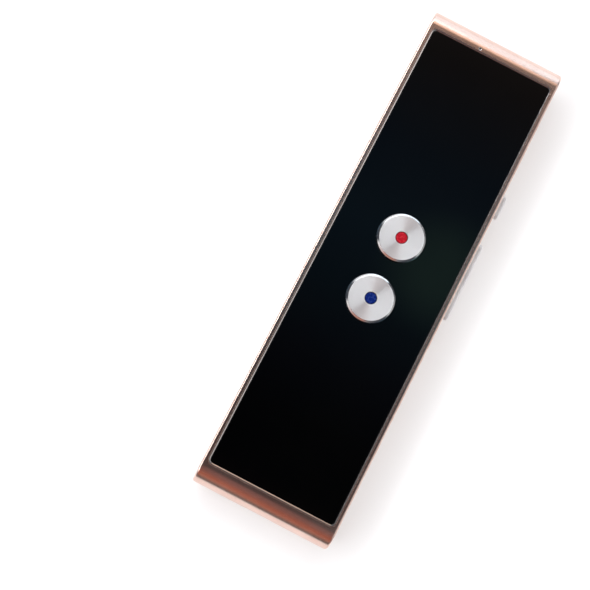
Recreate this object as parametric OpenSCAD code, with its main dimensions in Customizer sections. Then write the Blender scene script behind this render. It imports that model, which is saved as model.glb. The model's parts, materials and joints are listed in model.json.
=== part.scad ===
// Bar-shaped handheld voice translator: a slim metal casing with a glossy front panel,
// two round push buttons on the front, a power key and a volume rocker on one side,
// and the board, battery, speaker and microphone that it holds inside.
// Origin: centre of the back face. +Z is the front, +Y the top end, +X the side with the keys.

/* [Casing] */
// Width of the casing, side to side
body_w = 38; // [36:0.5:44]
// Length of the casing, end to end
body_l = 140; // [134:1:160]
// Thickness of the casing, back to front, which also rounds its two ends
body_t = 10.5; // [10.4:0.1:12]
// Radius of the casing's long edges
edge_r = 0.6; // [0.3:0.05:0.7]
// Thickness of the casing's side walls
side_wall = 2; // [1.7:0.1:2.2]
// Thickness of the metal at the tip of each round end
end_wall = 2; // [1.8:0.1:2.1]
// Thickness of the ledge that the front panel is taped to
ledge_t = 1; // [0.7:0.1:1.2]
// How far the side ledges reach in from the walls
ledge_w = 1.6; // [1.2:0.1:2]
// Depth of the shelf under the panel at each end
shelf_l = 7.4; // [6.6:0.1:8]

/* [Front panel] */
// Width of the metal border beside the panel
border_w = 1.65; // [1.5:0.05:2.2]
// Length of the flat metal beyond each end of the panel
border_l = 1.3; // [1.2:0.05:2.2]
// Thickness of the front panel
panel_t = 1; // [0.8:0.1:1.2]
// Corner radius of the front panel
panel_r = 1; // [0.6:0.1:2]
// Depth of the panel's face below the casing's face
panel_recess = 0.1; // [0:0.02:0.2]
// Width of the bright bezel ring round the panel
bezel_w = 0.45; // [0.3:0.05:0.6]
// Height of the bezel above the casing's face
bezel_proud = 0.05; // [0:0.01:0.15]
// Thickness of the double-sided tapes
tape_t = 0.2; // [0.1:0.05:0.25]

/* [Front buttons] */
// Diameter of the two round buttons
button_d = 12.6; // [11:0.2:13.4]
// Distance between the button centres
button_pitch = 17.6; // [17:0.1:22]
// Middle of the two buttons above the middle of the casing
button_mid_y = 0.35; // [-3:0.05:3]
// Height of the buttons above the panel
button_proud = 0.9; // [0.7:0.05:1.4]
// Width of the polished chamfer round each button
button_chamfer = 0.45; // [0.2:0.05:0.7]
// Width of the retaining flange under the panel
flange_w = 0.6; // [0.4:0.05:0.8]
// Thickness of the retaining flange
flange_t = 0.4; // [0.3:0.05:0.5]
// Travel of the front buttons
button_travel = 0.3; // [0.2:0.05:0.35]
// Diameter of the coloured dot
dot_d = 3.1; // [2.4:0.1:4.5]
// Depth of the recess that holds the dot
dot_recess = 0.3; // [0.2:0.05:0.4]
// Thickness of the dot
dot_t = 0.24; // [0.12:0.02:0.28]
// Diameter of the switch plunger
plunger_d = 2; // [1.6:0.1:2.4]
// Side of the square switch base
switch_w = 4.6; // [4:0.1:5.6]
// Height of the switch base
switch_h = 0.9; // [0.8:0.05:0.95]

/* [Side keys] */
// Length of the power key
power_len = 6.8; // [6:0.1:9]
// Middle of the power key above the middle of the casing
power_y = 29.9; // [27:0.1:34]
// Length of the volume rocker
volume_len = 22.4; // [20:0.2:24]
// Middle of the volume rocker above the middle of the casing
volume_y = 7.4; // [4:0.1:8.5]
// Height of both keys, back to front
key_h = 2.4; // [2:0.1:2.6]
// How far the keys stand out of the side
key_proud = 1.6; // [0.8:0.05:2]
// How far each key's lugs reach past its slot
key_lug = 0.6; // [0.4:0.05:0.7]
// Thickness of the keys' lugs
key_lug_t = 0.4; // [0.3:0.05:0.5]
// Gap between the lugs and the wall
key_gap = 0.15; // [0.12:0.01:0.2]
// Height of the nub that presses the dome
key_nub = 0.5; // [0.4:0.05:0.6]
// Distance of the rocker's nubs from its middle
rocker_nub_y = 8; // [7:0.1:8.6]
// Radius of the round fulcrum that the rocker turns on
fulcrum_r = 0.4; // [0.3:0.05:0.45]
// Diameter of the snap domes
dome_d = 3.6; // [3:0.1:4]
// Height of the snap domes
dome_h = 0.4; // [0.3:0.05:0.45]
// Thickness of the printed flex behind the keys
flex_t = 0.2; // [0.15:0.05:0.3]
// Thickness of the steel bracket behind the flex
bracket_t = 0.4; // [0.3:0.05:0.5]
// Thickness of the chassis rib behind the bracket
rib_t = 0.8; // [0.6:0.1:1]

/* [Chassis and board] */
// Thickness of the plastic chassis
chassis_t = 0.9; // [0.8:0.05:1]
// Wall of the collars round the buttons
collar_wall = 0.9; // [0.7:0.1:1]
// Height of the collars above the chassis
collar_h = 0.9; // [0.5:0.1:1.1]
// Thickness of the main board
board_t = 0.8; // [0.6:0.1:1]
// Diameter of the board screws
board_screw_d = 1.4; // [1.2:0.1:1.6]
// Distance of the board screws from the middle line
board_screw_x = 8.5; // [8:0.1:9.5]
// Side of the shield can across the board
shield_w = 20; // [18:0.5:22]
// Side of the shield can along the board
shield_l = 22; // [20:0.5:24]
// Height of the shield can
shield_h = 1.3; // [1.15:0.05:1.5]
// Thickness of the shield can's sheet
shield_t = 0.2; // [0.15:0.05:0.25]
// Side of the processor
processor_w = 10; // [8:0.5:11]
// Thickness of the chips
chip_t = 0.7; // [0.5:0.05:0.8]
// Length of the antenna
antenna_l = 7; // [5:0.5:8]
// Width of the antenna
antenna_w = 2; // [1.6:0.1:2.2]

/* [Microphone] */
// Diameter of the microphone hole
mic_hole_d = 0.6; // [0.4:0.05:0.7]
// Distance of the microphone hole from the middle line, away from the keys
mic_x = 4.1; // [3.5:0.1:5.5]
// Width of the microphone
mic_w = 3.8; // [3.4:0.1:4]
// Length of the microphone
mic_l = 2.4; // [2.2:0.1:2.6]
// Thickness of the microphone
mic_t = 0.65; // [0.5:0.05:0.7]

/* [Battery] */
// Length of the battery
battery_l = 68; // [60:1:72]
// Gap between the battery and the back cover, for swelling
battery_swell = 1; // [0.7:0.1:1.3]
// Corner radius of the battery
battery_r = 1.5; // [1:0.1:2]
// Diameter of the battery's wires
battery_wire_d = 0.9; // [0.7:0.05:1]
// Width of the battery's plug
plug_w = 4.4; // [4:0.1:5]

/* [Speaker] */
// Width of the speaker
speaker_w = 15; // [13:0.5:18]
// Length of the speaker
speaker_l = 11; // [10:0.5:12]
// Thickness of the speaker
speaker_t = 3; // [2.5:0.1:3.4]
// Middle of the speaker from the start of the bottom's round end
speaker_from_end = 12.75; // [11.5:0.25:15]
// Corner radius of the speaker
speaker_r = 2; // [1:0.1:3]
// Thickness of the speaker's foam gasket
gasket_t = 0.4; // [0.3:0.05:0.5]
// Width of the speaker's foam gasket
gasket_w = 1.2; // [1:0.1:1.6]
// Diameter of the speaker's wires
speaker_wire_d = 0.6; // [0.5:0.05:0.7]
// Diameter of the grille holes
grille_d = 0.9; // [0.6:0.05:1.1]
// Distance between the grille holes
grille_pitch = 1.7; // [1.5:0.05:2]

/* [Back cover] */
// Thickness of the back cover
cover_t = 1; // [0.9:0.05:1.1]
// Width of the casing's rim beside the back cover
cover_rim = 1.4; // [1.35:0.05:1.6]
// Corner radius of the back cover
cover_r = 2; // [1.5:0.1:3]
// Length of the casing's flat beyond each end of the back cover
cover_end = 2; // [1.6:0.1:3]
// Diameter of the cover screws
cover_screw_d = 1.4; // [1.2:0.1:1.6]
// Diameter of the screw heads
screw_head_d = 2.6; // [2.4:0.1:2.8]
// Height of the screw heads
screw_head_h = 0.6; // [0.5:0.05:0.7]
// Length of the cover screws
cover_screw_l = 4.5; // [3.5:0.1:5.5]

/* [Charging socket] */
// Width of the socket's shell
usb_w = 7.5; // [7:0.1:8]
// Height of the socket's shell
usb_h = 2.45; // [2.2:0.05:2.6]
// Length of the socket's shell
usb_l = 5.5; // [5.2:0.1:6]
// Thickness of the socket's shell
usb_wall = 0.3; // [0.25:0.05:0.4]
// Depth of the socket's mouth inside the round end
usb_inset = 0.5; // [0.3:0.05:0.7]

/* [Clearances] */
// Gap round a piece set into another
fit_gap = 0.05; // [0.03:0.01:0.08]
// Gap round the front buttons and the plungers
slide_gap = 0.1; // [0.06:0.01:0.12]
// Gap round the side keys and the charging socket
slot_gap = 0.12; // [0.08:0.01:0.15]
// Gap between inner pieces
loose_gap = 0.3; // [0.25:0.05:0.4]

/* [Hidden] */
$fn = 64;
// Cuts run this far past the faces that they open
cut = 1;

// Casing and panel outline
end_y = (body_l - body_t) / 2;
mid_z = body_t / 2;
inner_x = body_w / 2 - side_wall;
inner_end_r = mid_z - end_wall;
panel_w = body_w - 2 * border_w;
panel_l = 2 * (end_y - border_l);
bezel_w_out = panel_w + 2 * fit_gap + 2 * bezel_w;
bezel_l_out = panel_l + 2 * fit_gap + 2 * bezel_w;
cover_w = body_w - 2 * cover_rim;
cover_l = 2 * (end_y - cover_end);

// Heights, from the front down
panel_z1 = body_t - panel_recess;
panel_z0 = panel_z1 - panel_t;
ledge_z1 = panel_z0 - tape_t;
ledge_z0 = ledge_z1 - ledge_t;
board_z1 = ledge_z0 - chassis_t;
board_z0 = board_z1 - board_t;

// Opening through the ledge, and the corner posts
ledge_open_x = inner_x - ledge_w;
ledge_open_y = panel_l / 2 - shelf_l;
post_w = 5;
post_l = 5;
post_y = cover_l / 2 - post_l;
cover_screw_edge = 1.1;
cover_screw_x = inner_x - post_w / 2;
cover_screw_y = cover_l / 2 - screw_head_d / 2 - cover_screw_edge;
board_screw_from_end = 5.2;
board_screw_y = end_y - board_screw_from_end;

// Side keys, from the wall in
key_z = mid_z;
key_lug_x1 = inner_x - key_gap;
key_lug_x0 = key_lug_x1 - key_lug_t;
key_nub_x = key_lug_x0 - key_nub;
dome_x1 = key_nub_x - slide_gap;
flex_x1 = dome_x1 - dome_h;
bracket_x1 = flex_x1 - flex_t;
fulcrum_x = flex_x1 + fit_gap + fulcrum_r;
rib_x1 = bracket_x1 - bracket_t;
rib_x0 = rib_x1 - rib_t;
rib_past_volume = 2;
rib_past_power = 1;
rib_y0 = volume_y - volume_len / 2 - rib_past_volume;
rib_y1 = power_y + power_len / 2 + rib_past_power;
rib_z0 = key_z - key_h / 2 - key_lug;
tail_l = 3.5;
tail_reach = 3.4;
rocker_lug_l = 7;

// Board outline
board_x0 = -inner_x + loose_gap;
board_x1 = rib_x0 - loose_gap;
board_y1 = end_y + sqrt(pow(inner_end_r, 2) - pow(board_z1 - mid_z, 2)) - 2 * loose_gap;

// Front buttons
red_y = button_mid_y + button_pitch / 2;
blue_y = button_mid_y - button_pitch / 2;
flange_d = button_d + 2 * flange_w;
flange_z1 = panel_z0 - slide_gap;
flange_z0 = flange_z1 - flange_t;
button_z1 = panel_z1 + button_proud;
collar_d = flange_d + 2 * loose_gap;
// The plunger stops short of the bottom of its pocket when the button is down
plunger_spare = 0.1;
plunger_z0 = board_z1 + button_travel + plunger_spare;

// Pieces on the front of the board
shield_x = (board_x0 + board_x1) / 2;
shield_from_collar = 2;
shield_y = red_y + collar_d / 2 + shield_from_collar + shield_l / 2;
mic_wall = 0.25;
mic_y = bezel_l_out / 2 + fit_gap + mic_wall + mic_hole_d / 2;
antenna_x = 5;
// Middle of the power section, below the blue button
supply_from_collar = 12;
supply_y = blue_y - collar_d / 2 - supply_from_collar;
supply_window_w = 22;
supply_window_l = 19;

// Speaker, battery and plug, from the bottom end up
speaker_y = speaker_from_end - end_y;
battery_x0 = -inner_x + 4 * loose_gap;
battery_x1 = rib_x0 - 2 * loose_gap;
battery_from_speaker = 3;
battery_y0 = speaker_y + speaker_l / 2 + battery_from_speaker;
battery_y1 = battery_y0 + battery_l;
battery_z0 = cover_t + battery_swell;
battery_z1 = board_z0 - tape_t;
header_l = 3;
header_h = 2;
header_wall = 0.7;
plug_x = -5;
plug_out = 0.9;
plug_pitch = 2;
battery_wire_run = 6;
battery_wire_rise = 0.6;
header_y = battery_y1 + battery_wire_run + plug_out;
speaker_z0 = cover_t + gasket_t;
mesh_t = 0.3;
mesh_reach = 0.8;
mesh_w = speaker_w - 2 * gasket_w + 2 * mesh_reach;
mesh_l = speaker_l - 2 * gasket_w + 2 * mesh_reach;
speaker_wire_pitch = 3;
speaker_wire_run = 1.5;
speaker_wire_z = speaker_z0 + speaker_t / 2;

// Charging socket
usb_z = board_z0 - usb_h / 2;
usb_y0 = usb_inset - body_l / 2;
usb_chamfer = 0.7;
tongue_t = 0.65;

// Each wire follows one smooth curve through four guide points
wire_rings = 14;
wire_sides = 8;

// Screw details
head_sunk = 0.1;
cross_w = 1.5;
cross_t = 0.35;
cross_depth = 0.35;

// A rectangle with round corners, centred on the origin
module round_rect(w, l, r) {
    square([w, l - 2 * r], center = true);
    square([w - 2 * r, l], center = true);
    for (x = [-1, 1], y = [-1, 1])
        translate([x * (w / 2 - r), y * (l / 2 - r)]) circle(r);
}

// A flat plate with round corners from height z0 to z1
module plate(w, l, r, z0, z1) {
    translate([0, 0, z0]) linear_extrude(z1 - z0) round_rect(w, l, r);
}

// A block between two corners
module block(low, high) {
    translate(low) cube(high - low);
}

// A bar along X with round ends, from x0 to x1, centred on y and z
module side_bar(x0, x1, y, z, len, h) {
    translate([x0, y, z]) rotate([90, 0, 90]) linear_extrude(x1 - x0) {
        square([len - h, h], center = true);
        for (s = [-1, 1]) translate([s * (len - h) / 2, 0]) circle(h / 2);
    }
}

// The casing's outer form: a flat bar whose long edges are rounded, with half-round ends
module casing_form() {
    rotate([90, 0, 0]) translate([0, mid_z, -end_y]) linear_extrude(2 * end_y)
        round_rect(body_w, body_t, edge_r);
    for (s = [-1, 1]) translate([0, s * end_y, mid_z]) round_end(s);
}

// One half-round end, turned to face up or down the casing
module round_end(s) {
    rotate([0, 90, 0]) rotate([0, 0, s > 0 ? 0 : 180]) rotate_extrude(angle = 180) {
        translate([0, -body_w / 2]) square([mid_z - edge_r, body_w]);
        translate([0, edge_r - body_w / 2]) square([mid_z, body_w - 2 * edge_r]);
        for (x = [-1, 1])
            translate([mid_z - edge_r, x * (body_w / 2 - edge_r)]) circle(edge_r);
    }
}

// The hollow inside the casing, behind the ledge
module casing_hollow() {
    block([-inner_x, -end_y, cover_t], [inner_x, end_y, ledge_z0]);
    for (s = [-1, 1]) translate([0, s * end_y, mid_z]) rotate([0, 90, 0])
        cylinder(r = inner_end_r, h = 2 * inner_x, center = true);
}

// The four posts that the cover screws go into
module corner_posts() {
    merge = 0.5;
    for (x = [0, 1], y = [0, 1]) mirror([x, 0, 0]) mirror([0, y, 0])
        block([inner_x - post_w, post_y, cover_t],
            [inner_x + merge, end_y + merge, ledge_z0 + merge / 2]);
}

// Corner cut-outs that clear the posts
module corner_notches() {
    for (x = [0, 1], y = [0, 1]) mirror([x, 0, 0]) mirror([0, y, 0])
        block([inner_x - post_w - loose_gap, post_y - loose_gap, -cut],
            [body_w, body_l, body_t + cut]);
}

// Places its children at the four board screws
module at_board_screws() {
    for (x = [-1, 1], y = [-1, 1]) translate([x * board_screw_x, y * board_screw_y, 0])
        children();
}

// Places its children at the four cover screws
module at_cover_screws() {
    for (x = [-1, 1], y = [-1, 1]) translate([x * cover_screw_x, y * cover_screw_y, 0])
        children();
}

// A screw standing head down, with a cross in its head, from height z0 to z1
module screw(z0, z1, shank_d) {
    difference() {
        union() {
            translate([0, 0, z0]) cylinder(d = screw_head_d, h = screw_head_h);
            translate([0, 0, z0]) cylinder(d = shank_d, h = z1 - z0);
        }
        for (a = [0, 90]) rotate([0, 0, a])
            block([-cross_w / 2, -cross_t / 2, z0 - cut],
                [cross_w / 2, cross_t / 2, z0 + cross_depth]);
    }
}

// Outline of the charging socket, grown on every side, seen along the casing
module socket_outline(grow) {
    w = usb_w / 2 + grow;
    h = usb_h / 2 + grow;
    c = usb_chamfer;
    polygon([[-w, h], [w, h], [w, c - h], [w - c, -h], [c - w, -h], [-w, c - h]]);
}

// The socket's outline as a bar from y0 up to y1
module socket_bar(grow, y0, y1) {
    translate([0, y1, usb_z]) rotate([90, 0, 0]) linear_extrude(y1 - y0)
        socket_outline(grow);
}

module housing() {
    pocket_r = panel_r + bezel_w + 2 * fit_gap;
    color("#b98f7e") difference() {
        union() {
            difference() {
                casing_form();
                casing_hollow();
            }
            corner_posts();
        }
        plate(bezel_w_out + 2 * fit_gap, bezel_l_out + 2 * fit_gap, pocket_r,
            ledge_z1, body_t + cut);
        block([-ledge_open_x, -ledge_open_y, ledge_z0 - cut],
            [ledge_open_x, ledge_open_y, ledge_z1 + cut]);
        plate(cover_w + 2 * fit_gap, cover_l + 2 * fit_gap, cover_r + fit_gap,
            -cut, cover_t);
        key_slot(power_y, power_len);
        key_slot(volume_y, volume_len);
        socket_bar(slot_gap, -body_l / 2 - cut, -end_y);
        translate([-mic_x, mic_y, mid_z]) cylinder(d = mic_hole_d, h = body_t);
        at_board_screws() translate([0, 0, mid_z])
            cylinder(d = board_screw_d + 2 * fit_gap, h = ledge_z1 + cut - mid_z);
        at_cover_screws() cylinder(d = cover_screw_d + 2 * fit_gap, h = cover_screw_l + cut);
    }
}

// The opening in the side wall for one key
module key_slot(y, len) {
    side_bar(inner_x - cut, body_w / 2 + cut, y, key_z, len + 2 * slot_gap,
        key_h + 2 * slot_gap);
}

module back_cover() {
    columns = floor((mesh_w - 2 * mesh_reach - grille_d) / grille_pitch);
    rows = floor((mesh_l - 2 * mesh_reach - grille_d) / grille_pitch);
    color("#a98272") difference() {
        plate(cover_w, cover_l, cover_r, 0, cover_t);
        at_cover_screws() {
            translate([0, 0, -cut])
                cylinder(d = screw_head_d + 2 * fit_gap, h = cut + head_sunk + screw_head_h);
            cylinder(d = cover_screw_d + 2 * fit_gap, h = cover_t + cut);
        }
        translate([0, speaker_y, 0]) {
            block([-mesh_w / 2 - fit_gap, -mesh_l / 2 - fit_gap, cover_t - mesh_t],
                [mesh_w / 2 + fit_gap, mesh_l / 2 + fit_gap, cover_t + cut]);
            for (i = [0 : columns], j = [0 : rows])
                translate([(i - columns / 2) * grille_pitch, (j - rows / 2) * grille_pitch, -cut])
                    cylinder(d = grille_d, h = cover_t + cut);
        }
    }
}

module back_cover_screws() {
    color("#4a3d38") at_cover_screws() screw(head_sunk, cover_screw_l, cover_screw_d);
}

module front_bezel() {
    color("#e8d3cc") difference() {
        plate(bezel_w_out, bezel_l_out, panel_r + bezel_w + fit_gap,
            ledge_z1, body_t + bezel_proud);
        plate(panel_w + 2 * fit_gap, panel_l + 2 * fit_gap, panel_r + fit_gap,
            ledge_z1 - cut, body_t + cut);
    }
}

module front_panel() {
    color("#0b0d0e") difference() {
        plate(panel_w, panel_l, panel_r, panel_z0, panel_z1);
        for (y = [blue_y, red_y]) translate([0, y, panel_z0 - cut])
            cylinder(d = button_d + 2 * slide_gap, h = panel_t + 2 * cut);
    }
}

module panel_tape() {
    color("#26211f") difference() {
        plate(panel_w - 2 * loose_gap, panel_l - 2 * loose_gap, panel_r,
            ledge_z1, panel_z0);
        block([-ledge_open_x - fit_gap, -ledge_open_y - fit_gap, ledge_z1 - cut],
            [ledge_open_x + fit_gap, ledge_open_y + fit_gap, panel_z0 + cut]);
    }
}

module chassis() {
    plate_x = inner_x - loose_gap / 2;
    plate_y = end_y - loose_gap / 2;
    color("#2a2c2e") difference() {
        union() {
            block([-plate_x, -plate_y, board_z1], [plate_x, plate_y, ledge_z0]);
            for (y = [blue_y, red_y]) translate([0, y, board_z1])
                cylinder(d = collar_d + 2 * collar_wall, h = chassis_t + collar_h);
            block([rib_x0, rib_y0, rib_z0], [rib_x1, rib_y1, board_z1 + chassis_t / 2]);
        }
        corner_notches();
        for (y = [blue_y, red_y]) translate([0, y, board_z1 - cut])
            cylinder(d = collar_d, h = body_t);
        block([shield_x - shield_w / 2 - loose_gap, shield_y - shield_l / 2 - loose_gap, board_z1 - cut],
            [shield_x + shield_w / 2 + loose_gap, shield_y + shield_l / 2 + loose_gap, body_t]);
        block([-supply_window_w / 2, supply_y - supply_window_l / 2, board_z1 - cut],
            [supply_window_w / 2, supply_y + supply_window_l / 2, body_t]);
        block([-mic_x - mic_w / 2 - loose_gap, mic_y - mic_l / 2 - loose_gap, board_z1 - cut],
            [antenna_x + antenna_l / 2 + loose_gap, end_y + cut, body_t]);
        at_board_screws() translate([0, 0, mid_z])
            cylinder(d = board_screw_d + 2 * slide_gap, h = mid_z);
    }
}

module main_board() {
    color("#16563a") difference() {
        block([board_x0, -board_y1, board_z0], [board_x1, board_y1, board_z1]);
        corner_notches();
        at_board_screws() translate([0, 0, board_z0 - cut])
            cylinder(d = board_screw_d + 2 * slide_gap, h = board_t + 2 * cut);
    }
}

module board_screws() {
    color("#c3c6c8") at_board_screws()
        screw(board_z0 - screw_head_h, ledge_z1 - slide_gap, board_screw_d);
}

module shield_can() {
    color("#c9ccce") translate([shield_x, shield_y, board_z1]) difference() {
        block([-shield_w / 2, -shield_l / 2, 0], [shield_w / 2, shield_l / 2, shield_h]);
        block([shield_t - shield_w / 2, shield_t - shield_l / 2, -cut],
            [shield_w / 2 - shield_t, shield_l / 2 - shield_t, shield_h - shield_t]);
    }
}

// A chip on the front of the board, centred at x and y
module chip(x, y, w, l, t) {
    translate([x, y, board_z1]) block([-w / 2, -l / 2, 0], [w / 2, l / 2, t]);
}

module processor() {
    color("#1d1e20") chip(shield_x, shield_y - shield_l / 4, processor_w, processor_w, chip_t);
}

module memory_chip() {
    memory_w = 12;
    memory_l = 6;
    color("#202224") chip(shield_x, shield_y + shield_l / 4, memory_w, memory_l, chip_t);
}

module audio_chip() {
    audio_w = 5;
    color("#1c1d1f") chip(-audio_w, supply_y + audio_w, audio_w, audio_w, chip_t);
}

module charging_chip() {
    charging_w = 4;
    color("#1f2022") chip(charging_w, supply_y + charging_w, charging_w, charging_w, chip_t);
}

module power_coil() {
    coil_w = 4;
    coil_t = 1.2;
    color("#5b5650") chip(0, supply_y - coil_w, coil_w, coil_w, coil_t);
}

module antenna() {
    color("#e6e2d8") chip(antenna_x, mic_y, antenna_l, antenna_w, chip_t);
}

module microphone() {
    color("#c8b98a") chip(-mic_x, mic_y, mic_w, mic_l, mic_t);
}

module microphone_gasket() {
    port_d = mic_hole_d + 2 * loose_gap;
    color("#161616") difference() {
        block([-mic_x - mic_w / 2, mic_y - mic_l / 2, board_z1 + mic_t],
            [-mic_x + mic_w / 2, mic_y + mic_l / 2, ledge_z0]);
        translate([-mic_x, mic_y, board_z1]) cylinder(d = port_d, h = body_t);
    }
}

module front_switch_bases() {
    color("#3a3a3c") for (y = [blue_y, red_y]) difference() {
        chip(0, y, switch_w, switch_w, switch_h);
        translate([0, y, board_z1 - cut]) cylinder(d = plunger_d + 2 * slide_gap, h = body_t);
    }
}

// A round metal cap with a polished chamfer, a recess for its dot and a flange under the panel
module button_cap(y) {
    r = button_d / 2;
    dot_r = dot_d / 2 + fit_gap;
    translate([0, y, 0]) rotate_extrude() polygon([
        [0, flange_z0], [r + flange_w, flange_z0], [r + flange_w, flange_z1], [r, flange_z1],
        [r, button_z1 - button_chamfer], [r - button_chamfer, button_z1],
        [dot_r, button_z1], [dot_r, button_z1 - dot_recess], [0, button_z1 - dot_recess]
    ]);
}

// The coloured dot at the bottom of a cap's recess
module button_dot(y) {
    translate([0, y, button_z1 - dot_recess]) cylinder(d = dot_d, h = dot_t);
}

// The plunger that a cap presses into its switch
module switch_plunger(y) {
    translate([0, y, plunger_z0]) cylinder(d = plunger_d, h = flange_z0 - plunger_z0);
}

module red_button() {
    color("#d9dbdc") button_cap(red_y);
}

module red_button_dot() {
    color("#c8172a") button_dot(red_y);
}

module red_switch_plunger() {
    color("#2b2b2d") switch_plunger(red_y);
}

module blue_button() {
    color("#d9dbdc") button_cap(blue_y);
}

module blue_button_dot() {
    color("#0a2a80") button_dot(blue_y);
}

module blue_switch_plunger() {
    color("#2b2b2d") switch_plunger(blue_y);
}

// A nub on the inner side of a key
module key_nub_at(y) {
    nub_d = 1.6;
    translate([key_nub_x, y, key_z]) rotate([0, 90, 0]) cylinder(d = nub_d, h = key_nub);
}

module power_key() {
    color("#d5d6d8") {
        side_bar(key_lug_x0, body_w / 2 + key_proud, power_y, key_z, power_len, key_h);
        side_bar(key_lug_x0, key_lug_x1, power_y, key_z, power_len + 2 * key_lug, key_h + 2 * key_lug);
        key_nub_at(power_y);
    }
}

module volume_key() {
    color("#d5d6d8") {
        side_bar(key_lug_x0, body_w / 2 + key_proud, volume_y, key_z, volume_len, key_h);
        block([key_lug_x0, volume_y - rocker_lug_l / 2, key_z - key_h / 2 - key_lug],
            [key_lug_x1, volume_y + rocker_lug_l / 2, key_z + key_h / 2 + key_lug]);
        for (s = [-1, 1]) key_nub_at(volume_y + s * rocker_nub_y);
        block([fulcrum_x, volume_y - fulcrum_r, key_z - key_h / 2],
            [key_lug_x0, volume_y + fulcrum_r, key_z + key_h / 2]);
        translate([fulcrum_x, volume_y, key_z - key_h / 2]) cylinder(r = fulcrum_r, h = key_h);
    }
}

module key_flex() {
    strip_z1 = key_z + key_h / 2 + key_lug;
    tail_y0 = rib_y1 + loose_gap;
    color("#c07a2c") {
        block([bracket_x1, rib_y0, rib_z0], [flex_x1, rib_y1, strip_z1]);
        block([bracket_x1, rib_y1, rib_z0], [flex_x1, tail_y0 + tail_l, board_z0]);
        block([flex_x1 - tail_reach, tail_y0, board_z0 - flex_t],
            [flex_x1, tail_y0 + tail_l, board_z0]);
    }
}

module key_bracket() {
    color("#b9bcbe")
        block([rib_x1, rib_y0, rib_z0], [bracket_x1, rib_y1, key_z + key_h / 2 + key_lug]);
}

// A snap dome on the flex
module snap_dome(y) {
    translate([flex_x1, y, key_z]) rotate([0, 90, 0])
        cylinder(d1 = dome_d, d2 = dome_d / 2, h = dome_h);
}

module power_dome() {
    color("#cfd2d4") snap_dome(power_y);
}

module volume_domes() {
    color("#cfd2d4") for (s = [-1, 1]) snap_dome(volume_y + s * rocker_nub_y);
}

module battery() {
    color("#8f979c") translate([(battery_x0 + battery_x1) / 2, (battery_y0 + battery_y1) / 2, 0])
        plate(battery_x1 - battery_x0, battery_l, battery_r, battery_z0, battery_z1);
}

module battery_tape() {
    tape_inset = 3;
    color("#efe9d8")
        block([battery_x0 + tape_inset, battery_y0 + tape_inset, battery_z1],
            [battery_x1 - tape_inset, battery_y1 - tape_inset, board_z0]);
}

// A point on the smooth curve through four guide points
function curve_point(p, t) =
    pow(1 - t, 3) * p[0] + 3 * t * pow(1 - t, 2) * p[1] + 3 * t * t * (1 - t) * p[2] + pow(t, 3) * p[3];

// The direction of that curve, which stays in the plane along the casing
function curve_way(p, t) =
    let (d = pow(1 - t, 2) * (p[1] - p[0]) + 2 * t * (1 - t) * (p[2] - p[1]) + t * t * (p[3] - p[2]))
    d / norm(d);

// A round wire along that curve
module wire(p, d) {
    last = wire_rings - 1;
    rings = [
        for (i = [0 : last])
            let (t = i / last, c = curve_point(p, t), w = curve_way(p, t))
            for (k = [0 : wire_sides - 1])
                let (a = 360 * k / wire_sides)
                c + d / 2 * [cos(a), -w[2] * sin(a), w[1] * sin(a)]
    ];
    sides = [
        for (i = [0 : last - 1], k = [0 : wire_sides - 1])
            let (n = (k + 1) % wire_sides, a = i * wire_sides, b = a + wire_sides)
            each [[a + k, b + k, b + n], [a + k, b + n, a + n]]
    ];
    caps = [
        [for (k = [0 : wire_sides - 1]) k],
        [for (k = [wire_sides - 1 : -1 : 0]) last * wire_sides + k]
    ];
    polyhedron(points = rings, faces = concat(sides, caps));
}

module battery_wires() {
    half = battery_wire_run / 2;
    rise = battery_wire_rise;
    z = board_z0 - header_h / 2 - rise;
    color("#b3222a") for (s = [-0.5, 0.5]) translate([plug_x + s * plug_pitch, battery_y1, z])
        wire([[0, 0, 0], [0, half, 0], [0, half, rise], [0, 2 * half, rise]], battery_wire_d);
}

module battery_plug() {
    low = board_z0 - header_h + loose_gap;
    color("#f2efe6")
        block([plug_x - plug_w / 2, header_y - plug_out, low + fit_gap],
            [plug_x + plug_w / 2, header_y + header_l, board_z0 - loose_gap - fit_gap]);
}

module battery_header() {
    reach = plug_w / 2 + header_wall;
    room = plug_w / 2 + fit_gap;
    color("#e9e4d6") difference() {
        block([plug_x - reach, header_y, board_z0 - header_h],
            [plug_x + reach, header_y + header_l + header_wall, board_z0]);
        block([plug_x - room, header_y - cut, board_z0 - header_h + loose_gap],
            [plug_x + room, header_y + header_l, board_z0 - loose_gap]);
    }
}

module speaker() {
    color("#2f3032") translate([0, speaker_y, 0])
        plate(speaker_w, speaker_l, speaker_r, speaker_z0, speaker_z0 + speaker_t);
}

module speaker_gasket() {
    color("#17181a") translate([0, speaker_y, 0]) difference() {
        plate(speaker_w, speaker_l, speaker_r, cover_t, speaker_z0);
        block([gasket_w - speaker_w / 2, gasket_w - speaker_l / 2, 0],
            [speaker_w / 2 - gasket_w, speaker_l / 2 - gasket_w, body_t]);
    }
}

module speaker_mesh() {
    color("#141414") translate([0, speaker_y, 0])
        block([-mesh_w / 2, -mesh_l / 2, cover_t - mesh_t], [mesh_w / 2, mesh_l / 2, cover_t]);
}

module speaker_wires() {
    run = speaker_wire_run;
    rise = board_z0 - speaker_wire_z;
    y = speaker_y + speaker_l / 2;
    color("#8c1f24") for (s = [-0.5, 0.5])
        translate([s * speaker_wire_pitch, y, speaker_wire_z])
            wire([[0, 0, 0], [0, run, 0], [0, run, rise / 3], [0, run, rise]], speaker_wire_d);
}

module charging_socket_shell() {
    color("#b4b7b9") difference() {
        socket_bar(0, usb_y0, usb_y0 + usb_l);
        socket_bar(-usb_wall, usb_y0 - cut, usb_y0 + usb_l - usb_wall);
    }
}

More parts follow.
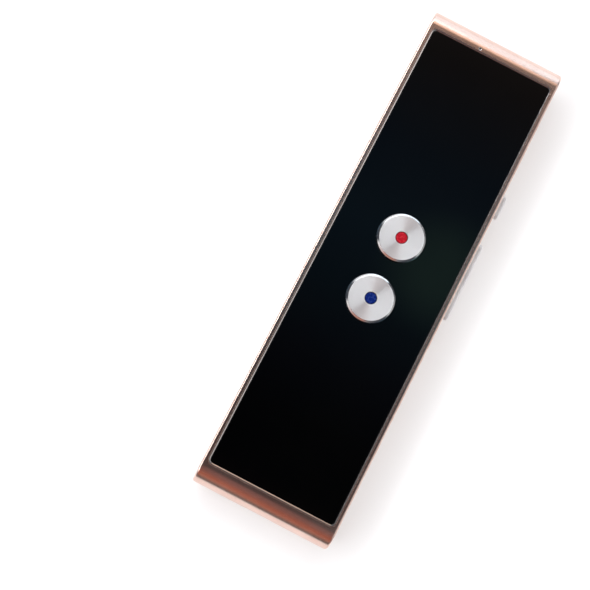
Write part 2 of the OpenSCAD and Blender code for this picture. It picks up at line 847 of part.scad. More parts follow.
module charging_socket_tongue() {
    base_l = 1.2;
    tongue_start = 0.9;
    tongue_side = 1.9;
    tongue_w = usb_w / 2 - tongue_side;
    back = usb_y0 + usb_l - usb_wall;
    top = usb_z + usb_h / 2 - usb_wall - tongue_t / 2;
    color("#1a1a1c") {
        socket_bar(-usb_wall, back - base_l, back);
        block([-tongue_w, usb_y0 + tongue_start, top - tongue_t], [tongue_w, back - base_l, top]);
    }
}

housing();
back_cover();
back_cover_screws();
front_bezel();
front_panel();
panel_tape();
chassis();
main_board();
board_screws();
shield_can();
processor();
memory_chip();
audio_chip();
charging_chip();
power_coil();
antenna();
microphone();
microphone_gasket();
front_switch_bases();
red_button();
red_button_dot();
red_switch_plunger();
blue_button();
blue_button_dot();
blue_switch_plunger();
power_key();
volume_key();
key_flex();
key_bracket();
power_dome();
volume_domes();
battery();
battery_tape();
battery_wires();
battery_plug();
battery_header();
speaker();
speaker_gasket();
speaker_mesh();
speaker_wires();
charging_socket_shell();
charging_socket_tongue();
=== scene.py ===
"""Looks of a bar-shaped handheld translator: finish, floor, light and camera.

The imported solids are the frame. What shows from outside is made again as fine meshes with
broken edges, each in the place of its solid, and every surface gets a procedural finish.
Shapes are worked out in millimetres and become metres when a piece is made.
"""
import json
import math

import bmesh
import bpy
from mathutils import Euler, Matrix, Vector


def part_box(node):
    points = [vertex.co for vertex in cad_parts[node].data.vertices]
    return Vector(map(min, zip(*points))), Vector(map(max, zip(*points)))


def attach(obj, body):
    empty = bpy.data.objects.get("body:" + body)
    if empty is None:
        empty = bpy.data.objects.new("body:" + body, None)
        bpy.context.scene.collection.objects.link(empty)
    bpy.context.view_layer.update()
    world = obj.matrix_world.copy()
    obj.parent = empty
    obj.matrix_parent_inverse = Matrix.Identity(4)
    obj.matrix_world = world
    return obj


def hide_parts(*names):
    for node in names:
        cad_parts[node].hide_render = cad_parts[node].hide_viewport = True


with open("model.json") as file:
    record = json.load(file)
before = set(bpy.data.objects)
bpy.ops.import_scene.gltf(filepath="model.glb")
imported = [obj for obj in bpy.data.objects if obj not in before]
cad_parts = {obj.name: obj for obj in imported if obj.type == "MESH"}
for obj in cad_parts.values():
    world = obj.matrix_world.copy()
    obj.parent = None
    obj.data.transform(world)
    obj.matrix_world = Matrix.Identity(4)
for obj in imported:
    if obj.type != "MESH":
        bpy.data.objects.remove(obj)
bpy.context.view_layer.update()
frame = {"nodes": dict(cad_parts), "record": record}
scene = bpy.context.scene

MM = 0.001


def span(node):
    """Lowest and highest corner of a solid, in millimetres."""
    low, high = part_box(node)
    return low / MM, high / MM


# Sizes from the frame
case_high = span("housing")[1]
bezel_low, bezel_high = span("front_bezel")
panel_low, panel_high = span("front_panel")
cover_high = span("back_cover")[1]
case_x = case_high.x
mid_z = case_high.z / 2
end_y = case_high.y - mid_z
key_z = mid_z

# Details of the casing, in millimetres
EDGE_R = 0.6
WEAR_DEPTH = 0.1
SIDE_WALL = 2.0
END_WALL = 2.0
LEDGE_T = 1.0
LEDGE_W = 1.6
SHELF_L = 7.4
POST = 5.0
FIT = 0.05
SLIDE = 0.1
SLOT = 0.12
RIM_BREAK = 0.07
MIC_HOLE_D = 0.6
MIC_X = -4.1
MIC_WALL = 0.25
MIC_RIM_W = 0.14
MIC_RIM_H = 0.09

# Details of the front, in millimetres
PANEL_R = 1.0
PANEL_EDGE = 0.16
BEZEL_W = 0.45
BEZEL_CUT_W = 0.22
BEZEL_CUT_H = 0.09
BEZEL_OUTER_CUT = 0.05
CHAMFER_W = 0.48
CHAMFER_H = 0.375
CHAMFER_ROUND = 0.05
FLANGE_W = 0.6
FLANGE_T = 0.4
DOT_RECESS = 0.3
DOT_BULGE = 0.07
DOT_ROUND = 0.04
BUTTON_BREAK = 0.05
# The dot's crown, as shares of its radius and depths below its top
DOT_CROWN = ((0.75, 0.012), (0.45, 0.003), (0.15, 0.0))

# Details of the side keys, in millimetres
KEY_LUG = 0.6
KEY_LUG_T = 0.4
KEY_ROUND = 0.5
KEY_NUB = 0.5
ROCKER_LUG_L = 7.0
ROCKER_NUB_Y = 8.0
NUB_D = 1.6
FULCRUM_R = 0.4
WEB_INSET_Y = 0.008
WEB_INSET_Z = 0.01

# Details of the back, in millimetres
COVER_R = 2.0
COVER_BREAK = 0.1
GRILLE_D = 0.9
GRILLE_PITCH = 1.7
GRILLE_COLUMNS = 7
GRILLE_ROWS = 5
MESH_POCKET = 0.3
WEAVE_PITCH = 0.36
WEAVE_STEPS = 4
WEAVE_DEPTH = 0.14
SCREW_HEAD_D = 2.6
SCREW_HEAD_H = 0.6
SCREW_D = 1.4
SCREW_TIP = 0.2
SCREW_EDGE = 1.1
BOARD_SCREW_X = 8.5
BOARD_SCREW_FROM_END = 5.2
CROSS_W = 1.5
CROSS_T = 0.35
CROSS_DEPTH = 0.35
# The rounding of a screw's head, as insets from its rim and heights above its face
HEAD_ROUND = ((0.25, 0.0), (0.1, 0.04), (0.0, 0.16))

# Details of the charging socket, in millimetres
SOCKET_WALL = 0.3
SOCKET_CHAMFER = 0.7
SOCKET_BREAK = 0.08
TONGUE_BASE_L = 1.2
TONGUE_LAP = 0.1
TONGUE_T = 0.65
TONGUE_SIDE_GAP = 1.9
TONGUE_TOP_GAP = 0.325
TONGUE_BREAK = 0.08
CONTACTS = 5
CONTACT_PITCH = 0.65
CONTACT_W = 0.38
CONTACT_T = 0.06
CONTACT_INSET = 0.25
CONTACT_BREAK = 0.02

# Fineness of the meshes
CORNER_STEPS = 16
END_STEPS = 32
EDGE_STEPS = 6
TURN_STEPS = 128
DOT_STEPS = 96
SCREW_STEPS = 64
SEAT_STEPS = 48
HOLE_STEPS = 40
NUB_STEPS = 32
GRILLE_STEPS = 24
BREAK_STEPS = 2
ROUND_STEPS = 3
GLASSY_STEPS = 4

# Angles past which an edge stays sharp
SHARP = math.radians(35)
CRISP = math.radians(12)

# How far a cut runs past a face, and into the next cut, in millimetres
PAST = 1.0
OVERLAP = 0.25

# Distances that count as none, in millimetres
SAME_POINT = 1e-4
SAME_PLACE = 1e-3


# ---------------------------------------------------------------- outlines and meshes

def arc(x, y, r, start, sweep, steps):
    """Points of an arc, with its start and sweep in degrees."""
    angles = [math.radians(start + sweep * k / steps) for k in range(steps + 1)]
    return [(x + r * math.cos(a), y + r * math.sin(a)) for a in angles]


def round_rect(w, l, r, centre=(0, 0), steps=CORNER_STEPS):
    """Outline of a rectangle with round corners."""
    points = []
    for sx, sy, start in ((1, 1, 0), (-1, 1, 90), (-1, -1, 180), (1, -1, 270)):
        x = centre[0] + sx * (w / 2 - r)
        y = centre[1] + sy * (l / 2 - r)
        points += arc(x, y, r, start, 90, steps)
    return points


def bar(length, height, centre, steps=CORNER_STEPS):
    """Outline of a bar with round ends."""
    return round_rect(length, height, height / 2, centre, steps)


def along_x(outline, x):
    """An outline of Y and Z, stood up at X."""
    return [(x, u, v) for u, v in outline]


def along_y(outline, y):
    """An outline of X and Z, stood up at Y."""
    return [(u, y, v) for u, v in outline]


def along_z(outline, z):
    """An outline of X and Y, laid at Z."""
    return [(u, v, z) for u, v in outline]


def loft(rings, closed=False):
    """Skin through rings of as many points each, with flat caps or closed on itself."""
    made = bmesh.new()
    rows = [[made.verts.new(point) for point in ring] for ring in rings]
    pairs = list(zip(rows, rows[1:]))
    if closed:
        pairs.append((rows[-1], rows[0]))
    for a, b in pairs:
        for i in range(len(a)):
            j = (i + 1) % len(a)
            made.faces.new((a[i], a[j], b[j], b[i]))
    if not closed:
        made.faces.new(rows[0][::-1])
        made.faces.new(rows[-1])
    bmesh.ops.remove_doubles(made, verts=made.verts, dist=SAME_POINT)
    bmesh.ops.recalc_face_normals(made, faces=made.faces)
    return made


def prism(outline, z0, z1):
    """An upright block with the outline as its base."""
    return loft([along_z(outline, z0), along_z(outline, z1)])


def block(low, high):
    """A box between two corners."""
    x, y = (low[0] + high[0]) / 2, (low[1] + high[1]) / 2
    w, l = (high[0] - low[0]) / 2, (high[1] - low[1]) / 2
    corners = [(x + w, y + l), (x - w, y + l), (x - w, y - l), (x + w, y - l)]
    return prism(corners, low[2], high[2])


def turned(profile, centre=(0, 0), steps=TURN_STEPS):
    """A round piece about an upright axis, from a profile of radius and height."""
    return loft([along_z(arc(*centre, r, 0, 360, steps)[:-1], z) for r, z in profile])


def together(*parts):
    """One mesh that holds all the parts, which are used up."""
    made = bmesh.new()
    for part in parts:
        scratch = bpy.data.meshes.new("scratch")
        part.to_mesh(scratch)
        part.free()
        made.from_mesh(scratch)
        bpy.data.meshes.remove(scratch)
    return made


def scratch_object(shape):
    """Puts a shape into the scene as an object of its own, for a modifier to use."""
    mesh = bpy.data.meshes.new("scratch")
    shape.to_mesh(mesh)
    shape.free()
    made = bpy.data.objects.new("scratch", mesh)
    scene.collection.objects.link(made)
    return made


def combine(shape, operation, *tools):
    """Cuts the tools out of a shape, or adds them to it, exactly."""
    base = scratch_object(shape)
    used = [scratch_object(tool) for tool in tools]
    for tool in used:
        step = base.modifiers.new("combine", "BOOLEAN")
        step.object = tool
        step.operation = operation
        step.solver = "EXACT"
    bpy.context.view_layer.update()
    result = base.evaluated_get(bpy.context.evaluated_depsgraph_get())
    made = bmesh.new()
    made.from_mesh(result.to_mesh())
    result.to_mesh_clear()
    for spent in (base, *used):
        mesh = spent.data
        bpy.data.objects.remove(spent)
        bpy.data.meshes.remove(mesh)
    bmesh.ops.remove_doubles(made, verts=made.verts, dist=SAME_POINT)
    return made


def break_edges(shape, width, steps, wanted, material=-1):
    """Rounds the sharp edges whose middle point is wanted."""
    chosen = [
        edge for edge in shape.edges
        if len(edge.link_faces) == 2
        and edge.calc_face_angle() > SHARP
        and wanted((edge.verts[0].co + edge.verts[1].co) / 2)
    ]
    bmesh.ops.bevel(shape, geom=chosen, offset=width, segments=steps, profile=0.5,
                    affect="EDGES", clamp_overlap=False, material=material)
    return shape


def near(a, b):
    """Whether two places are the same, but for rounding."""
    return abs(a - b) < SAME_PLACE


def piece(shape, name, body, materials, nodes=(), pick=None, sharp=SHARP):
    """Turns a shape into a piece that rides on a body and stands for its solids."""
    mesh = bpy.data.meshes.new(name)
    if pick:
        for face in shape.faces:
            face.material_index = pick(face)
    shape.to_mesh(mesh)
    shape.free()
    mesh.transform(Matrix.Scale(MM, 4))
    for material in materials:
        mesh.materials.append(material)
    mesh.shade_smooth()
    mesh.set_sharp_from_angle(angle=sharp)
    made = bpy.data.objects.new(name, mesh)
    scene.collection.objects.link(made)
    flats = made.modifiers.new("even_flats", "WEIGHTED_NORMAL")
    flats.keep_sharp = True
    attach(made, body)
    if nodes:
        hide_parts(*nodes)
    return made


# ---------------------------------------------------------------- finishes

# Most of a noise lies between these values
NOISE_MIDDLE = (0.3, 0.7)


def darker(colour, share):
    """A share of a colour's brightness."""
    return tuple(c * share for c in colour)


class NodeTree:
    """Short ways to add shader nodes to a material or a world."""

    def __init__(self, owner):
        owner.use_nodes = True
        self.tree = owner.node_tree
        self.tree.nodes.clear()

    def node(self, kind, inputs=None, **settings):
        """Adds a node. Each input is a value, or the socket that feeds it."""
        made = self.tree.nodes.new(kind)
        for key, value in settings.items():
            setattr(made, key, value)
        for key, value in (inputs or {}).items():
            if isinstance(value, bpy.types.NodeSocket):
                self.tree.links.new(value, made.inputs[key])
            else:
                made.inputs[key].default_value = value
        return made

    def maths(self, operation, a, b=0.0):
        """The result of a Math node."""
        return self.node("ShaderNodeMath", {0: a, 1: b}, operation=operation).outputs[0]

    def remap(self, value, low, high, to_low=0.0, to_high=1.0):
        """Goes smoothly from to_low to to_high while value goes from low to high."""
        return self.node("ShaderNodeMapRange", {
            "Value": value, "From Min": low, "From Max": high,
            "To Min": to_low, "To Max": to_high,
        }, interpolation_type="SMOOTHSTEP").outputs[0]

    def mix(self, share, a, b):
        """Colour a where share is 0 and b where it is 1."""
        a, b = [(*c, 1) if isinstance(c, tuple) else c for c in (a, b)]
        return self.node("ShaderNodeMix", {0: share, 6: a, 7: b}, data_type="RGBA").outputs[2]


class Finish(NodeTree):
    """One material: a Principled shader and the nodes that vary it over a surface."""

    def __init__(self, name, **values):
        self.material = bpy.data.materials.new(name)
        super().__init__(self.material)
        self.shader = self.node("ShaderNodeBsdfPrincipled")
        self.output = self.node("ShaderNodeOutputMaterial", {"Surface": self.shader.outputs[0]})
        self.place = self.node("ShaderNodeTexCoord").outputs["Object"]
        for key, value in values.items():
            self.set(key.replace("_", " ").title().replace("Ior", "IOR"), value)

    def set(self, name, value):
        """Sets an input of the shader to a value, or feeds it from a socket."""
        if isinstance(value, bpy.types.NodeSocket):
            self.tree.links.new(value, self.shader.inputs[name])
        else:
            self.shader.inputs[name].default_value = value

    def noise(self, size, detail=2.0, stretch=(1, 1, 1)):
        """Noise whose features are about size millimetres, drawn out by stretch."""
        scaled = self.node("ShaderNodeMapping", {
            "Vector": self.place,
            "Scale": [1 / (size * MM * s) for s in stretch],
        })
        return self.node("ShaderNodeTexNoise", {
            "Vector": scaled.outputs[0], "Scale": 1.0, "Detail": detail,
        }).outputs["Fac"]

    def vary(self, noise, to_low=0.0, to_high=1.0):
        """Spreads the middle of a noise, where most of it lies, from to_low to to_high."""
        return self.remap(noise, *NOISE_MIDDLE, to_low, to_high)

    def tint(self, noise, colour, share):
        """Varies the base colour between a darker share of it and the full colour."""
        self.set("Base Color", self.mix(self.vary(noise), darker(colour, share), colour))

    def bump(self, height, depth, strength=1.0, under=None):
        """Relief of depth millimetres."""
        inputs = {"Height": height, "Distance": depth * MM, "Strength": strength}
        if under:
            inputs["Normal"] = under
        return self.node("ShaderNodeBump", inputs).outputs[0]

    def axis(self, name):
        """How far a point lies along X, Y or Z, in millimetres."""
        parts = self.node("ShaderNodeSeparateXYZ", {0: self.place})
        return self.maths("MULTIPLY", parts.outputs[name], 1 / MM)

    def radius(self, x, y):
        """Distance from an upright axis, in millimetres."""
        moved = self.node("ShaderNodeVectorMath", {0: self.place, 1: (-x * MM, -y * MM, 0)},
                          operation="ADD").outputs[0]
        flat = self.node("ShaderNodeVectorMath", {0: moved, 1: (1, 1, 0)},
                         operation="MULTIPLY").outputs[0]
        length = self.node("ShaderNodeVectorMath", {0: flat}, operation="LENGTH")
        return self.maths("MULTIPLY", length.outputs["Value"], 1 / MM)


def side_edge(made):
    """Rises from 0 to 1 across the rounding of the casing's long edges, seen from the front."""
    from_middle = made.maths("ABSOLUTE", made.axis("X"))
    return made.remap(from_middle, case_x - EDGE_R, case_x - WEAR_DEPTH)


def outer_skin(made):
    """Rises from 0 to 1 towards the front, the back and the round ends' outer skin."""
    from_middle = made.maths("ABSOLUTE", made.axis("Y"))
    past_end = made.maths("MAXIMUM", made.maths("SUBTRACT", from_middle, end_y), 0.0)
    height = made.maths("SUBTRACT", made.axis("Z"), mid_z)
    squares = made.maths("ADD", made.maths("MULTIPLY", past_end, past_end),
                         made.maths("MULTIPLY", height, height))
    return made.remap(made.maths("SQRT", squares), mid_z - EDGE_R, mid_z - WEAR_DEPTH)


def blasted(name, colour, deep, bright, roughness):
    """Blasted and anodised aluminium, a little polished along the long edges."""
    made = Finish(name, metallic=1.0)
    grain = made.noise(0.12, 3)
    mottle = made.noise(0.3, 2)
    cloud = made.noise(9, 2)
    worn = made.maths("MULTIPLY", side_edge(made), outer_skin(made))
    tone = made.mix(made.remap(cloud, 0.35, 0.65), deep, colour)
    pitted = made.mix(PIT_SHARE, tone, ROSE_PITS)
    tone = made.mix(made.remap(mottle, 0.3, 0.6), pitted, tone)
    patchy = made.maths("MULTIPLY", worn, made.vary(made.noise(2.5, 3)))
    made.set("Base Color", made.mix(patchy, tone, bright))
    rough = made.vary(grain, roughness - 0.04, roughness + 0.05)
    polish = made.maths("MULTIPLY", patchy, 0.06)
    made.set("Roughness", made.maths("SUBTRACT", rough, polish))
    made.set("Normal", made.bump(grain, 0.005, 0.6, made.bump(mottle, 0.012, 0.6)))
    return made.material


def bright_cut(name, colour, roughness):
    """Metal cut with a fine tool, with faint lines along its run."""
    made = Finish(name, metallic=1.0)
    lines = made.noise(0.05, 2, (1, 30, 1))
    made.tint(made.noise(4), colour, 0.93)
    made.set("Roughness", made.vary(lines, roughness - 0.04, roughness + 0.05))
    made.set("Normal", made.bump(lines, 0.002, 0.4))
    return made.material


def panel_gloss(name):
    """Polished black acrylic with faint smears and a few specks of dust."""
    made = Finish(name, ior=1.49)
    cloud = made.noise(22, 2)
    smear = made.noise(5, 3, (1, 2.5, 1))
    cells = made.node("ShaderNodeTexVoronoi", {
        "Vector": made.place, "Scale": 1 / (5.5 * MM), "Randomness": 1.0,
    })
    speck = made.remap(cells.outputs["Distance"], 0.016, 0.034, 1.0, 0.0)
    pick = made.node("ShaderNodeSeparateColor", {0: cells.outputs["Color"]}).outputs[0]
    dust = made.maths("MULTIPLY", speck, made.remap(pick, 0.72, 0.74))
    black = made.mix(made.vary(cloud), BLACK_DEEP, BLACK)
    made.set("Base Color", made.mix(made.maths("MULTIPLY", dust, 0.5), black, DUST))
    gloss = made.remap(smear, 0.4, 0.75, 0.035, 0.075)
    made.set("Roughness", made.maths("ADD", gloss, made.maths("MULTIPLY", dust, 0.4)))
    made.set("Normal", made.bump(dust, 0.01, 0.6))
    return made.material


def spun(name, x, y):
    """Aluminium spun on a lathe: fine rings about the button's middle."""
    made = Finish(name, metallic=0.72, anisotropic=1.0, anisotropic_rotation=0.25)
    radius = made.radius(x, y)
    fine = made.node("ShaderNodeTexNoise", {"W": radius, "Scale": 30.0, "Detail": 3.0},
                     noise_dimensions="1D").outputs["Fac"]
    made.set("Tangent", made.node("ShaderNodeTangent", direction_type="RADIAL",
                                  axis="Z").outputs[0])
    made.set("Base Color", made.mix(made.vary(fine), SPUN_DEEP, SPUN_BRIGHT))
    made.set("Roughness", made.remap(fine, 0.25, 0.75, 0.46, 0.54))
    made.set("Normal", made.bump(fine, 0.0015, 0.5))
    return made.material


def polished(name, colour, roughness):
    """Polished metal with a faint haze."""
    made = Finish(name, metallic=1.0)
    haze = made.noise(1.2, 3)
    made.tint(haze, colour, 0.95)
    made.set("Roughness", made.vary(haze, roughness * 0.7, roughness * 1.5))
    made.set("Normal", made.bump(made.noise(0.4), 0.0006, 0.5))
    return made.material


# Radii across which a dot's filling darkens into painted shade at its recess wall, in millimetres
ENAMEL_SHADE_RADII = (1.25, 1.52)


def enamel(name, colour, rim, x, y):
    """Gloss filling, darkened towards its metal rim by painted shade where it meets the recess wall."""
    made = Finish(name, coat_weight=0.3, coat_roughness=0.05)
    # The filling's outer ring is mixed towards the darker rim colour: painted shade along the recess
    # wall
    edge = made.remap(made.radius(x, y), *ENAMEL_SHADE_RADII)
    depth = made.noise(0.7, 2)
    tone = made.mix(made.vary(depth), darker(colour, 0.85), colour)
    made.set("Base Color", made.mix(edge, tone, rim))
    made.set("Roughness", made.vary(depth, 0.22, 0.3))
    made.set("Normal", made.bump(made.noise(0.5), 0.004, 0.4))
    return made.material


def moulded(name, colour, roughness, grain=0.15, depth=0.006):
    """Moulded plastic, rubber or paper with a fine even texture."""
    made = Finish(name)
    fine = made.noise(grain, 3)
    made.tint(made.noise(6), colour, 0.82)
    made.set("Roughness", made.vary(fine, roughness - 0.07, roughness + 0.07))
    made.set("Normal", made.bump(fine, depth, 0.6))
    return made.material


def sheet_metal(name, colour, roughness, stretch=(1, 14, 1), metallic=1.0):
    """Rolled or plated sheet, with faint lines along the way it was rolled."""
    made = Finish(name, metallic=metallic)
    lines = made.noise(0.12, 3, stretch)
    made.tint(made.noise(5), colour, 0.86)
    made.set("Roughness", made.vary(lines, roughness - 0.08, roughness + 0.08))
    made.set("Normal", made.bump(lines, 0.003, 0.5))
    return made.material


def solder_mask(name):
    """Green board with copper tracks that show through as lighter paths."""
    made = Finish(name, coat_weight=0.3, coat_roughness=0.2)
    black, white = (0, 0, 0, 1), (1, 1, 1, 1)
    paths = made.node("ShaderNodeTexBrick", {
        "Vector": made.place, "Scale": 1 / (6 * MM), "Mortar Size": 0.05,
        "Color1": black, "Color2": black, "Mortar": white,
    }).outputs["Color"]
    made.set("Base Color", made.mix(paths, (0.012, 0.10, 0.05), (0.03, 0.20, 0.10)))
    made.set("Roughness", made.vary(made.noise(1.5), 0.3, 0.42))
    made.set("Normal", made.bump(paths, 0.03, 0.5))
    return made.material


red_low, red_high = span("red_button")
blue_low, blue_high = span("blue_button")
RED_AT = (0.0, (red_low.y + red_high.y) / 2)
BLUE_AT = (0.0, (blue_low.y + blue_high.y) / 2)

ROSE = (0.85, 0.64, 0.56)
ROSE_DEEP = (0.80, 0.58, 0.50)
ROSE_BRIGHT = (0.90, 0.74, 0.68)
ROSE_PITS = (0.12, 0.05, 0.035)
PIT_SHARE = 0.12
CREAM = (0.93, 0.84, 0.80)
SILVER = (0.90, 0.90, 0.91)
SPUN_DEEP = (0.92, 0.92, 0.93)
SPUN_BRIGHT = (0.99, 0.99, 0.99)
BLACK = (0.0006, 0.0007, 0.0008)
BLACK_DEEP = (0.0003, 0.0004, 0.0006)
DUST = (0.20, 0.22, 0.22)
# Each dot's filling colour, and the darker colour of painted shade at its recess wall
RED, RED_PAINTED_SHADE = (0.52, 0.004, 0.016), (0.16, 0.002, 0.006)
BLUE, BLUE_PAINTED_SHADE = (0.001, 0.016, 0.17), (0.001, 0.005, 0.05)

# Ways of rolling sheet metal: with no run of its lines, and with a short one
EVEN = (1, 1, 1)
SHORT_LINES = (1, 3, 1)

# Each finish: how it is made, and from what colour, roughness and other values
FINISHES = {
    "casing_metal": (blasted, ROSE, ROSE_DEEP, ROSE_BRIGHT, 0.21),
    "cover_metal": (blasted, ROSE, ROSE_DEEP, ROSE_BRIGHT, 0.24),
    "bezel_metal": (bright_cut, CREAM, 0.16),
    "panel_gloss": (panel_gloss,),
    "button_metal": (polished, SILVER, 0.09),
    "key_metal": (sheet_metal, (0.95, 0.95, 0.96), 0.36, EVEN, 0.25),
    "red_spun": (spun, *RED_AT),
    "blue_spun": (spun, *BLUE_AT),
    "red_enamel": (enamel, RED, RED_PAINTED_SHADE, *RED_AT),
    "blue_enamel": (enamel, BLUE, BLUE_PAINTED_SHADE, *BLUE_AT),
    "dark_screw": (sheet_metal, (0.22, 0.17, 0.15), 0.34, EVEN),
    "socket_steel": (sheet_metal, (0.66, 0.67, 0.68), 0.24),
    "socket_plastic": (moulded, (0.02, 0.02, 0.022), 0.45),
    "contact_gold": (sheet_metal, (0.95, 0.68, 0.30), 0.22),
    "mesh_steel": (sheet_metal, (0.10, 0.10, 0.105), 0.42, EVEN),
    "tape": (moulded, (0.70, 0.66, 0.56), 0.8, 0.4, 0.02),
    "chassis_plastic": (moulded, (0.022, 0.023, 0.025), 0.5),
    "circuit_board": (solder_mask,),
    "plain_screw": (sheet_metal, (0.66, 0.67, 0.68), 0.3, EVEN),
    "shield_metal": (sheet_metal, (0.72, 0.73, 0.74), 0.28),
    "chip_plastic": (moulded, (0.018, 0.018, 0.02), 0.42, 0.1),
    "coil_ferrite": (moulded, (0.10, 0.09, 0.085), 0.7, 0.2, 0.015),
    "antenna_ceramic": (moulded, (0.72, 0.69, 0.62), 0.6, 0.12),
    "microphone_metal": (sheet_metal, (0.86, 0.68, 0.36), 0.3, EVEN),
    "foam": (moulded, (0.012, 0.012, 0.012), 0.9, 0.25, 0.06),
    "switch_plastic": (moulded, (0.02, 0.02, 0.022), 0.46),
    "flex_film": (moulded, (0.42, 0.17, 0.03), 0.3, 0.5, 0.004),
    "bracket_steel": (sheet_metal, (0.64, 0.65, 0.66), 0.3),
    "dome_steel": (sheet_metal, (0.74, 0.75, 0.76), 0.18, EVEN),
    "battery_foil": (sheet_metal, (0.50, 0.52, 0.54), 0.36, SHORT_LINES),
    "wire_sleeve": (moulded, (0.42, 0.02, 0.025), 0.4, 0.3),
    "connector_plastic": (moulded, (0.78, 0.74, 0.65), 0.45),
    "speaker_plastic": (moulded, (0.02, 0.02, 0.022), 0.5),
}
finishes = {name: make(name, *values) for name, (make, *values) in FINISHES.items()}


# ---------------------------------------------------------------- casing

def on_outer_form(p):
    """Whether a point lies on the casing's outer skin."""
    if abs(p.y) > end_y:
        return near(math.hypot(abs(p.y) - end_y, p.z - mid_z), mid_z)
    return near(p.z, case_high.z) or near(p.z, 0) or near(abs(p.x), case_x)


def casing_form():
    """Flat bar with half-round ends, drawn in along its two long edges."""
    rings = []
    for side in (-1, 1):
        for k in range(EDGE_STEPS + 1):
            turn = math.radians(90 * (k / EDGE_STEPS if side > 0 else 1 - k / EDGE_STEPS))
            inset = EDGE_R * (1 - math.cos(turn))
            x = side * (case_x - EDGE_R + EDGE_R * math.sin(turn))
            r = mid_z - inset
            rings.append(along_x(bar(2 * (end_y + r), 2 * r, (0, mid_z), END_STEPS), x))
    return loft(rings)


def corner_points(x, y, post):
    """Outline of the hollow, stepped in round the four corner posts."""
    quarter = [(x, y - post), (x - post, y - post), (x - post, y)]
    outline = list(quarter)
    outline += [(-px, py) for px, py in quarter[::-1]]
    outline += [(-px, -py) for px, py in quarter]
    outline += [(px, -py) for px, py in quarter[::-1]]
    return outline


def key_height(node):
    """Height of a key's cap: its lugs reach past it along Z."""
    low, high = span(node)
    return high.z - low.z - 2 * KEY_LUG


def key_length(node):
    """Length of a key's cap: only the power key's lugs reach past it along Y."""
    low, high = span(node)
    return high.y - low.y - (2 * KEY_LUG if node == "power_key" else 0)


def key_slot(node):
    """The slot in the casing's side that a key's cap slides in."""
    low, high = span(node)
    length = key_length(node) + 2 * SLOT
    outline = bar(length, key_height(node) + 2 * SLOT, ((low.y + high.y) / 2, key_z))
    return loft([along_x(outline, inner_x - PAST), along_x(outline, case_x + PAST)])


def socket_outline(grow):
    """The charging socket's outline, with its two lower corners cut off."""
    low, high = span("charging_socket_shell")
    w = (high.x - low.x) / 2 + grow
    z = (low.z + high.z) / 2
    h = (high.z - low.z) / 2 + grow
    c = SOCKET_CHAMFER
    return [(w, z + h), (-w, z + h), (-w, z - h + c), (c - w, z - h), (w - c, z - h), (w, z - h + c)]


def upright(r, x, y, z0, z1, steps=HOLE_STEPS):
    """A plain cylinder about an upright axis."""
    return turned([(r, z0), (r, z1)], (x, y), steps)


four_corners = [(x, y) for x in (-1, 1) for y in (-1, 1)]
inner_x = case_x - SIDE_WALL
screw_x = inner_x - POST / 2
screw_y = cover_high.y + FIT - SCREW_HEAD_D / 2 - SCREW_EDGE
board_screw_y = end_y - BOARD_SCREW_FROM_END
ledge_z1 = bezel_low.z
ledge_z0 = ledge_z1 - LEDGE_T
mic_y = bezel_high.y + FIT + MIC_WALL + MIC_HOLE_D / 2
mic_wide = MIC_HOLE_D / 2 + MIC_RIM_W
mic_sink = case_high.z - MIC_RIM_H


def casing_spaces():
    """What is cut out for the front, the inside and the back cover."""
    pocket_w = 2 * (bezel_high.x + FIT)
    pocket_l = 2 * (bezel_high.y + FIT)
    pocket = prism(round_rect(pocket_w, pocket_l, PANEL_R + BEZEL_W + 2 * FIT),
                   ledge_z1, case_high.z + PAST)
    window_x = inner_x - LEDGE_W
    window_y = panel_high.y - SHELF_L
    window = block((-window_x, -window_y, ledge_z0 - PAST), (window_x, window_y, ledge_z1 + PAST))
    hollow = prism(corner_points(inner_x, end_y, POST), cover_high.z - OVERLAP, ledge_z0)
    seat_w = 2 * (cover_high.x + FIT)
    seat_l = 2 * (cover_high.y + FIT)
    cover_seat = prism(round_rect(seat_w, seat_l, COVER_R + FIT), -PAST, cover_high.z)
    ends = []
    for side in (-1, 1):
        outline = arc(side * end_y, mid_z, mid_z - END_WALL, 0, 360, 4 * CORNER_STEPS)[:-1]
        ends.append(loft([along_x(outline, x) for x in (-inner_x, inner_x)]))
    return [pocket, window, hollow, cover_seat, *ends]


def casing_holes():
    """The microphone's port, and the holes of the cover's and the board's screws."""
    port_r = MIC_HOLE_D / 2
    port = [(port_r, mid_z), (port_r, mic_sink), (mic_wide, case_high.z), (mic_wide, mic_sink + PAST)]
    shank_r = SCREW_D / 2 + FIT
    shank_top = span("back_cover_screws")[1].z + PAST
    cover_holes = [upright(shank_r, x * screw_x, y * screw_y, -PAST, shank_top)
                   for x, y in four_corners]
    board_holes = [upright(shank_r, x * BOARD_SCREW_X, y * board_screw_y, mid_z, ledge_z1 + OVERLAP)
                   for x, y in four_corners]
    return together(turned(port, (MIC_X, mic_y), HOLE_STEPS), *cover_holes, *board_holes)


def make_casing():
    """The casing, with a bright rim sunk round its microphone hole."""
    slots = together(key_slot("power_key"), key_slot("volume_key"))
    socket = loft([along_y(socket_outline(SLOT), y) for y in (-case_high.y - PAST, -end_y)])
    shape = combine(casing_form(), "DIFFERENCE", *casing_spaces(), slots, socket, casing_holes())
    port_at = Vector((MIC_X, mic_y, mic_sink))
    # Near the port, the faces up to this height are its bright rim
    rim_z1 = case_high.z - MIC_RIM_H / 4

    def at_port(p):
        return (p - port_at).length < 2 * mic_wide

    def finish_of(face):
        middle = face.calc_center_median()
        return int(at_port(middle) and mic_sink < middle.z < rim_z1)

    break_edges(shape, RIM_BREAK, BREAK_STEPS, lambda p: on_outer_form(p) and not at_port(p))
    return piece(shape, "casing_shell", "casing", [finishes["casing_metal"], finishes["bezel_metal"]],
                 ["housing"], pick=finish_of)


# ---------------------------------------------------------------- front

def past_outline(p, w, l, r):
    """How far a point lies outside a rectangle with round corners, seen from above."""
    x, y = abs(p.x) - w / 2 + r, abs(p.y) - l / 2 + r
    return (math.hypot(x, y) if x > 0 and y > 0 else max(x, y)) - r


